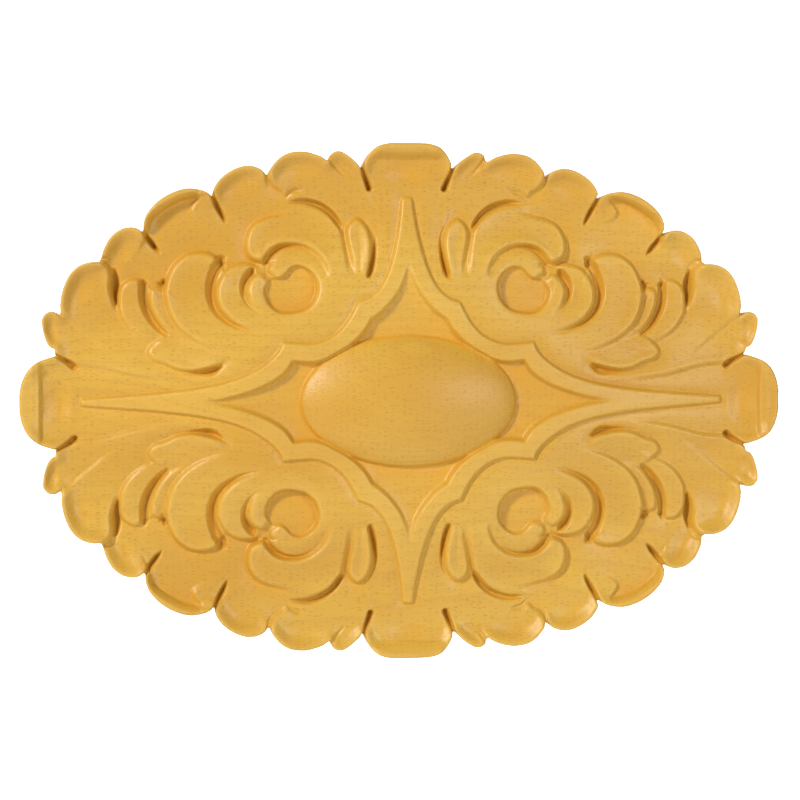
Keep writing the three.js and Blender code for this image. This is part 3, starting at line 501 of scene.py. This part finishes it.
# %% Pull the points at the edge onto the outline


def nearest_on(line, x, y):
    """The spot on a line that is nearest to each point."""
    best = np.full(x.shape, np.inf)
    near_x, near_y = x.copy(), y.copy()
    for a, b in zip(line[:-1], line[1:]):
        dx, dy = b[0] - a[0], b[1] - a[1]
        run = dx * dx + dy * dy
        if run < 1e-9:
            continue
        t = np.clip(((x - a[0]) * dx + (y - a[1]) * dy) / run, 0, 1)
        gap = (x - a[0] - t * dx) ** 2 + (y - a[1] - t * dy) ** 2
        near = gap < best
        best = np.where(near, gap, best)
        near_x = np.where(near, a[0] + t * dx, near_x)
        near_y = np.where(near, a[1] + t * dy, near_y)
    return near_x, near_y


mesh_x, mesh_y = grid_x.copy(), grid_y.copy()
half_diagonal = 0.71
pulled = rim_gap < half_diagonal * grid_step
mesh_x[pulled], mesh_y[pulled] = nearest_on(rim, grid_x[pulled], grid_y[pulled])
mesh_x[:, 0] = 0
mesh_y[0, :] = 0
used = inside_rim | pulled
number = np.arange(grid_x.size).reshape(grid_x.shape)
corners = [number[:-1, :-1], number[:-1, 1:], number[1:, 1:], number[1:, :-1]]
flip = rim_gap[:-1, :-1] + rim_gap[1:, 1:] < rim_gap[:-1, 1:] + rim_gap[1:, :-1]
triangles = []
for chosen, order in [(~flip, [(0, 1, 2), (0, 2, 3)]), (flip, [(0, 1, 3), (1, 2, 3)])]:
    for a, b, c in order:
        triangles.append(np.stack([corners[a][chosen], corners[b][chosen], corners[c][chosen]], 1))
triangles = np.vstack(triangles)
triangles = triangles[used.ravel()[triangles].all(1)]
centre_x = mesh_x.ravel()[triangles].mean(1)
centre_y = mesh_y.ravel()[triangles].mean(1)
all_pulled = pulled.ravel()[triangles].all(1)
keep = ~all_pulled
keep[all_pulled] = within(np.vstack([rim, middle]), centre_x[all_pulled], centre_y[all_pulled])
corner_x, corner_y = mesh_x.ravel()[triangles], mesh_y.ravel()[triangles]
area = ((corner_x[:, 1] - corner_x[:, 0]) * (corner_y[:, 2] - corner_y[:, 0])
        - (corner_x[:, 2] - corner_x[:, 0]) * (corner_y[:, 1] - corner_y[:, 0])) / 2
smallest_share = 0.06
triangles = triangles[keep & (area > smallest_share * grid_step**2)]
print(f"one quarter of the face starts with {len(triangles)} triangles")

# %% Build the quarter: its face, a flat back under it, and the side wall between them
stretch_x = length / 2 / rim[:, 0].max()
stretch_z = height / 2 / rim[:, 1].max()
wall_levels = [6.0, 0.4]
kept_points, triangles = np.unique(triangles, return_inverse=True)
triangles = triangles.reshape(-1, 3)
flat_x = mesh_x.ravel()[kept_points] * stretch_x
flat_z = mesh_y.ravel()[kept_points] * stretch_z
count = len(kept_points)
sides = np.vstack([triangles[:, [0, 1]], triangles[:, [1, 2]], triangles[:, [2, 0]]])
forward = sides[:, 0] * count + sides[:, 1]
backward = sides[:, 1] * count + sides[:, 0]
outer = sides[~np.isin(forward, backward)]
on_axis = (flat_x[outer] < 1e-6).all(1) | (flat_z[outer] < 1e-6).all(1)
outer = outer[~on_axis]
levels = [relief.ravel()[kept_points], *(np.full(count, level) for level in wall_levels), np.zeros(count)]
points = np.vstack([np.stack([flat_x, -level, flat_z], 1) for level in levels])
faces = [triangles.tolist(), (triangles[:, ::-1] + count * (len(levels) - 1)).tolist()]
for k in range(len(levels) - 1):
    upper, lower = outer + k * count, outer + (k + 1) * count
    faces.append(np.stack([upper[:, 1], upper[:, 0], lower[:, 0], lower[:, 1]], 1).tolist())
quarter_mesh = bpy.data.meshes.new("rosette_quarter")
quarter_mesh.from_pydata((points * mm).tolist(), [], sum(faces, []))
shape = bmesh.new()
shape.from_mesh(quarter_mesh)
loose = [vert for vert in shape.verts if not vert.link_faces]
bmesh.ops.delete(shape, geom=loose, context="VERTS")
bmesh.ops.recalc_face_normals(shape, faces=shape.faces)
shape.to_mesh(quarter_mesh)
shape.free()
print(f"with its wall and back the quarter has {len(quarter_mesh.polygons)} faces")

# %% Thin out the quarter
wanted_triangles = 46000
rosette = bpy.data.objects.new("rosette_carving", quarter_mesh)
bpy.context.scene.collection.objects.link(rosette)
thinning = rosette.modifiers.new("thin out", "DECIMATE")
thinning.ratio = wanted_triangles / len(quarter_mesh.polygons)
bpy.context.view_layer.objects.active = rosette
bpy.ops.object.modifier_apply(modifier=thinning.name)
print(f"after thinning out it has {len(rosette.data.polygons)} faces")

# %% Mirror it
axis_gap = 0.03 * mm
merge_gap = 0.005 * mm
for vert in rosette.data.vertices:
    if abs(vert.co.x) < axis_gap:
        vert.co.x = 0
    if abs(vert.co.z) < axis_gap:
        vert.co.z = 0
shape = bmesh.new()
shape.from_mesh(rosette.data)
for axis in ("X", "Z"):
    whole = shape.verts[:] + shape.edges[:] + shape.faces[:]
    bmesh.ops.mirror(shape, geom=whole, axis=axis, merge_dist=merge_gap)
bmesh.ops.recalc_face_normals(shape, faces=shape.faces)
open_edges = sum(not edge.is_manifold for edge in shape.edges)
shape.to_mesh(rosette.data)
shape.free()
rosette.data.shade_smooth()
rosette.data.set_sharp_from_angle(angle=math.radians(60))
rosette.data.name = "rosette_carving"
print(f"the carving has {len(rosette.data.polygons)} faces and {open_edges} open edges")

# %% Put it on the board's place
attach(rosette, "root")
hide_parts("rosette")
print(f"{rosette.name} takes the place of the plain rosette")

# %% [markdown]
# ## Beech
# Beech is a pale, even wood with a warm cast. On the real piece three things show in the wood: soft bands
# where the carving cuts through the growth rings, fine streaks along the grain, and countless short dark ray
# flecks. The arrises also look slightly paler, partly from rubbing and partly because they catch the light;
# that paleness is painted highlight. Rings, streaks and flecks come from positions in the wood itself, so they
# run through the carving as real grain does. They are made by two node groups.

# %% Helpers for node groups


def new_group(name, inputs, outputs):
    """A shader node group. Its inputs are (name, kind, value), and its outputs are (name, kind)."""
    group = bpy.data.node_groups.new(name, "ShaderNodeTree")
    for label, kind, value in inputs:
        socket = group.interface.new_socket(label, in_out="INPUT", socket_type=kind)
        if value is not None:
            socket.default_value = value
    for label, kind in outputs:
        group.interface.new_socket(label, in_out="OUTPUT", socket_type=kind)
    return group, group.nodes.new("NodeGroupInput"), group.nodes.new("NodeGroupOutput")


def add(tree, kind, inputs=None, **settings):
    """A node with its settings, and its inputs set to values or joined to other nodes' outputs."""
    node = tree.nodes.new(kind)
    for label, value in settings.items():
        setattr(node, label, value)
    for label, value in (inputs or {}).items():
        socket = node.inputs[label]
        if isinstance(value, bpy.types.NodeSocket):
            tree.links.new(value, socket)
        else:
            socket.default_value = value
    return node


def maths(tree, operation, *values):
    """The result of a Math node."""
    return add(tree, "ShaderNodeMath", dict(enumerate(values)), operation=operation).outputs[0]


def ranged(tree, value, low, high, to_low=0.0, to_high=1.0):
    """A value taken smoothly from one range to another."""
    inputs = {"Value": value, "From Min": low, "From Max": high, "To Min": to_low, "To Max": to_high}
    return add(tree, "ShaderNodeMapRange", inputs, interpolation_type="SMOOTHSTEP").outputs["Result"]


# %% [markdown]
# ### Growth rings
# The rings are wide shells round a far pith that lies behind and below the board. Where the carving cuts them
# at a slant, as on a dome, they show like the contour lines of a map. A slow noise bends the shells, because
# no tree is a perfect cylinder.

# %% Growth rings as a node group
rings, ring_in, ring_out = new_group(
    "growth rings",
    [("Position", "NodeSocketVector", None), ("Spacing", "NodeSocketFloat", 0.0026),
     ("Pith Height", "NodeSocketFloat", -0.12), ("Pith Depth", "NodeSocketFloat", 0.16)],
    [("Band", "NodeSocketFloat"), ("Line", "NodeSocketFloat")],
)
ring_axes = add(rings, "ShaderNodeSeparateXYZ", {"Vector": ring_in.outputs["Position"]})
stretched = add(rings, "ShaderNodeMapping", {"Vector": ring_in.outputs["Position"], "Scale": (6, 20, 20)})
bend = add(rings, "ShaderNodeTexNoise", {"Vector": stretched.outputs["Vector"], "Scale": 1.0, "Detail": 2.0})
drift = maths(rings, "MULTIPLY", maths(rings, "SUBTRACT", bend.outputs["Fac"], 0.5), 0.016)
away_z = maths(rings, "SUBTRACT", ring_axes.outputs["Z"], ring_in.outputs["Pith Height"])
away_y = maths(rings, "SUBTRACT", ring_axes.outputs["Y"], ring_in.outputs["Pith Depth"])
squares = maths(rings, "ADD", maths(rings, "POWER", away_z, 2.0), maths(rings, "POWER", away_y, 2.0))
shell = maths(rings, "ADD", maths(rings, "SQRT", squares), drift)
turns = maths(rings, "DIVIDE", shell, ring_in.outputs["Spacing"])
phase = maths(rings, "FRACT", turns)
late = ranged(rings, phase, 0.35, 0.92)
early = ranged(rings, phase, 0.93, 1.0, 1.0, 0.0)
rings.links.new(maths(rings, "MULTIPLY", late, early), ring_out.inputs["Band"])
line_on = ranged(rings, phase, 0.80, 0.93)
rings.links.new(maths(rings, "MULTIPLY", line_on, early), ring_out.inputs["Line"])
print(f"{rings.name}: {len(rings.nodes)} nodes")

# %% [markdown]
# ### Fibres and ray flecks
# Fibres are noise stretched far along the grain. The flecks are the cut ends of the rays: short dashes about
# a millimetre long and a fifth as wide, all in line with the grain. A stretched Voronoi pattern gives one
# dash in some of its cells. A slow noise gives clouds of a deeper tone.

# %% Fibres and flecks as a node group
fibres, fibre_in, fibre_out = new_group(
    "fibres and flecks",
    [("Position", "NodeSocketVector", None), ("Fleck Length", "NodeSocketFloat", 0.0024),
     ("Fleck Width", "NodeSocketFloat", 0.00045)],
    [("Fibres", "NodeSocketFloat"), ("Flecks", "NodeSocketFloat"), ("Clouds", "NodeSocketFloat")],
)
fibre_place = fibre_in.outputs["Position"]
fibre_map = add(fibres, "ShaderNodeMapping", {"Vector": fibre_place, "Scale": (70, 1500, 1500)})
fibre_noise = add(fibres, "ShaderNodeTexNoise",
                  {"Vector": fibre_map.outputs["Vector"], "Scale": 1.0, "Detail": 3.0})
fibres.links.new(fibre_noise.outputs["Fac"], fibre_out.inputs["Fibres"])
per_length = maths(fibres, "DIVIDE", 1.0, fibre_in.outputs["Fleck Length"])
per_width = maths(fibres, "DIVIDE", 1.0, fibre_in.outputs["Fleck Width"])
cell_scale = add(fibres, "ShaderNodeCombineXYZ", {"X": per_length, "Y": per_width, "Z": per_width})
cell_place = add(fibres, "ShaderNodeVectorMath",
                 {0: fibre_place, 1: cell_scale.outputs["Vector"]}, operation="MULTIPLY")
cells = add(fibres, "ShaderNodeTexVoronoi",
            {"Vector": cell_place.outputs["Vector"], "Scale": 1.0, "Randomness": 1.0})
dash = ranged(fibres, cells.outputs["Distance"], 0.18, 0.42, 1.0, 0.0)
chance = add(fibres, "ShaderNodeSeparateColor", {"Color": cells.outputs["Color"]})
picked = ranged(fibres, chance.outputs["Red"], 0.35, 0.7)
fibres.links.new(maths(fibres, "MULTIPLY", dash, picked), fibre_out.inputs["Flecks"])
cloud_map = add(fibres, "ShaderNodeMapping", {"Vector": fibre_place, "Scale": (9, 26, 26)})
cloud_noise = add(fibres, "ShaderNodeTexNoise",
                  {"Vector": cloud_map.outputs["Vector"], "Scale": 1.0, "Detail": 3.0})
fibres.links.new(cloud_noise.outputs["Fac"], fibre_out.inputs["Clouds"])
print(f"{fibres.name}: {len(fibres.nodes)} nodes")

# %% [markdown]
# ### The finish and painted light
# The wood is warm gold with a satin surface. Rings, clouds and flecks darken it. Light and shade are painted
# on
# top: arrises and broad ridges are paler, a painted highlight that on the arrises is partly rubbed wood too,
# and the hollows are deeper in colour, a painted shade. Both come from the shape itself: how much the heights
# differ from a blurred copy of them is kept on the mesh as two attributes, one for narrow arrises and one for
# broad ridges and hollows.

# %% Keep hollows and arrises on the mesh
arris_reach = 1.2
hollow_reach = 6.0
arris_grid = relief - blurred(relief, arris_reach)
hollow_grid = relief - blurred(relief, hollow_reach)
places = np.empty(len(rosette.data.vertices) * 3)
rosette.data.vertices.foreach_get("co", places)
places = places.reshape(-1, 3) / mm
column = np.clip(np.abs(places[:, 0]) / stretch_x / grid_step, 0, grid_x.shape[1] - 1).round().astype(int)
row = np.clip(np.abs(places[:, 2]) / stretch_z / grid_step, 0, grid_x.shape[0] - 1).round().astype(int)
lowest_face = wall_levels[0] + 0.5
on_face = places[:, 1] < -lowest_face
for label, grid in (("arris", arris_grid), ("hollow", hollow_grid)):
    layer = rosette.data.attributes.new(label, "FLOAT", "POINT")
    layer.data.foreach_set("value", np.where(on_face, grid[row, column], 0).astype(np.float32))
    print(f"{label} values run from {grid.min():.2f} to {grid.max():.2f} mm")

# %% The beech material
beech = bpy.data.materials.new("beech")
beech.use_nodes = True
tree = beech.node_tree
tree.nodes.clear()
place = add(tree, "ShaderNodeTexCoord").outputs["Object"]
ring_node = add(tree, "ShaderNodeGroup", node_tree=rings)
tree.links.new(place, ring_node.inputs["Position"])
fibre_node = add(tree, "ShaderNodeGroup", node_tree=fibres)
tree.links.new(place, fibre_node.inputs["Position"])


def mixed(share, first, second):
    """Two colours mixed by a share."""
    node = add(tree, "ShaderNodeMix", data_type="RGBA")
    for index, value in ((0, share), (6, first), (7, second)):
        if isinstance(value, bpy.types.NodeSocket):
            tree.links.new(value, node.inputs[index])
        else:
            node.inputs[index].default_value = value
    return node.outputs[2]


def tinted(colour, mask, strength, tint):
    """A colour with a tint laid over it where a mask says so."""
    return mixed(maths(tree, "MULTIPLY", mask, strength), colour, tint)


gold = (0.69, 0.415, 0.054, 1)
honey = (0.60, 0.310, 0.026, 1)
ring_brown = (0.61, 0.315, 0.040, 1)
fleck_brown = (0.40, 0.17, 0.022, 1)
pale_wear_and_highlight = (0.80, 0.50, 0.105, 1)
painted_hollow_shade = (0.74, 0.35, 0.016, 1)
cloud_share = ranged(tree, fibre_node.outputs["Clouds"], 0.3, 0.7)
colour = mixed(cloud_share, gold, honey)
colour = tinted(colour, ring_node.outputs["Band"], 0.30, ring_brown)
colour = tinted(colour, ring_node.outputs["Line"], 0.06, fleck_brown)
fibre_share = ranged(tree, fibre_node.outputs["Fibres"], 0.35, 0.7)
colour = tinted(colour, fibre_share, 0.22, ring_brown)
colour = tinted(colour, fibre_node.outputs["Flecks"], 0.6, fleck_brown)
arris = add(tree, "ShaderNodeAttribute", attribute_name="arris").outputs["Fac"]
hollow = add(tree, "ShaderNodeAttribute", attribute_name="hollow").outputs["Fac"]
# Painted highlight: arrises (partly rubbed wood too) and broad ridges are made paler, as where light catches
# them.
colour = tinted(colour, ranged(tree, arris, 0.1, 0.5), 0.1, pale_wear_and_highlight)
colour = tinted(colour, ranged(tree, hollow, 0.0, 1.6), 0.2, pale_wear_and_highlight)
# Painted shade: broad hollows are made deeper in colour, standing in for shade and warm bounced light in
# recesses.
colour = tinted(colour, ranged(tree, hollow, 0.0, -2.2), 0.4, painted_hollow_shade)
bump_height = maths(tree, "SUBTRACT", fibre_share, maths(tree, "MULTIPLY", fibre_node.outputs["Flecks"], 1.5))
bump = add(tree, "ShaderNodeBump", {"Height": bump_height, "Strength": 0.25, "Distance": 0.0001})
surface = add(tree, "ShaderNodeBsdfPrincipled", {"Base Color": colour, "Normal": bump.outputs["Normal"]})
surface.inputs["Roughness"].default_value = 0.42
surface.inputs["IOR"].default_value = 1.45
surface.inputs["Specular IOR Level"].default_value = 0.7
add(tree, "ShaderNodeOutputMaterial", {"Surface": surface.outputs["BSDF"]})
rosette.data.materials.clear()
rosette.data.materials.append(beech)
print(f"{beech.name}: {len(tree.nodes)} nodes")

# %% [markdown]
# ## Backdrop and light
# The picture shows the piece alone on pure white, with no shadow behind it. A sweep of pale paper does that.
# Behind the piece it glows, so its bend and edges don't show. In front of the piece it doesn't, so it
# doesn't shine up at the carving. A warm lamp stands at the upper left, a weaker, paler and wider one at the
# right, and the room adds a little light from everywhere.

# %% Paper sweep
paper = bpy.data.materials.new("paper")
paper.use_nodes = True
paper_surface = paper.node_tree.nodes["Principled BSDF"]
paper_surface.inputs["Base Color"].default_value = (0.9, 0.9, 0.9, 1)
paper_surface.inputs["Roughness"].default_value = 1.0
paper_surface.inputs["Emission Color"].default_value = (1, 1, 1, 1)
paper_place = add(paper.node_tree, "ShaderNodeNewGeometry").outputs["Position"]
paper_depth = add(paper.node_tree, "ShaderNodeSeparateXYZ", {"Vector": paper_place}).outputs["Y"]
glow_start, glow_full, full_glow = 0.1, 0.9, 0.9
glow = ranged(paper.node_tree, paper_depth, glow_start, glow_full, 0.0, full_glow)
paper.node_tree.links.new(glow, paper_surface.inputs["Emission Strength"])
floor_level = -0.42
wall_place = 1.5
bend_radius = 0.5
bend_steps = 16
half_width = 4.0
front_edge = -2.5
top_edge = 3.0
profile = [(front_edge, floor_level)]
for k in range(bend_steps + 1):
    angle = math.pi / 2 * k / bend_steps
    profile.append((wall_place - bend_radius + bend_radius * math.sin(angle),
                    floor_level + bend_radius - bend_radius * math.cos(angle)))
profile.append((wall_place, top_edge))
sweep_points = [(x, y, z) for y, z in profile for x in (-half_width, half_width)]
sweep_faces = [(2 * k, 2 * k + 1, 2 * k + 3, 2 * k + 2) for k in range(len(profile) - 1)]
sweep_mesh = bpy.data.meshes.new("floor")
sweep_mesh.from_pydata(sweep_points, [], sweep_faces)
sweep_mesh.materials.append(paper)
sweep_mesh.shade_smooth()
floor = bpy.data.objects.new("floor", sweep_mesh)
bpy.context.scene.collection.objects.link(floor)
print(f"the paper lies {-floor_level:.2f} m below the middle of the piece and {wall_place:.1f} m behind it")

# %% Lamps and room


def soft_lamp(name, place, size, power, colour):
    """A square area lamp that faces the middle of the piece."""
    light = bpy.data.lights.new(name, "AREA")
    light.shape = "SQUARE"
    light.size = size
    light.energy = power
    light.color = colour
    lamp = bpy.data.objects.new(name, light)
    lamp.location = place
    lamp.rotation_euler = (-Vector(place)).to_track_quat("-Z", "Y").to_euler()
    bpy.context.scene.collection.objects.link(lamp)
    print(f"{name}: {size} m wide, {power} W")


soft_lamp("key lamp", (-1.0, -0.906, 0.66), 0.2, 16.0, (1.0, 0.95, 0.86))
soft_lamp("fill lamp", (0.75, -1.15, 0.2), 0.5, 6.0, (0.92, 0.97, 1.0))
room = bpy.data.worlds.new("room")
room.use_nodes = True
room.node_tree.nodes["Background"].inputs["Color"].default_value = (1.0, 0.96, 0.90, 1)
room.node_tree.nodes["Background"].inputs["Strength"].default_value = 0.23
bpy.context.scene.world = room
bpy.context.scene.view_settings.view_transform = "Standard"

# %% [markdown]
# ## Camera
# The slight perspective of the picture puts the camera about three quarters of a metre away, a little to the
# left of the middle and just above it, with a short tele lens.

# %% Camera
camera_place = Vector((-0.09600, -0.74365, 0.01628))
camera_ahead = Vector((0.12553, 0.99186, -0.02145))
camera_up = Vector((0.00572, 0.02090, 0.99977))
camera_data = bpy.data.cameras.new("camera")
camera_data.sensor_width = 36
camera_data.lens = 84.8
camera = bpy.data.objects.new("camera", camera_data)
right = camera_ahead.cross(camera_up).normalized()
up = right.cross(camera_ahead).normalized()
turn = Matrix((right, up, -camera_ahead.normalized())).transposed()
camera.matrix_world = Matrix.Translation(camera_place) @ turn.to_4x4()
bpy.context.scene.collection.objects.link(camera)
bpy.context.scene.camera = camera
print(f"the camera stands {camera_place.length:.2f} m away with a {camera_data.lens} mm lens")

# %% [markdown]
# ## The end
# The carving takes its length, height and thickness from the plain solid's box. The carving has to fit the
# plain solid's box. The view layer is brought up to date, and the lesson ends.

# %% Bring the view layer up to date
bpy.context.view_layer.update()
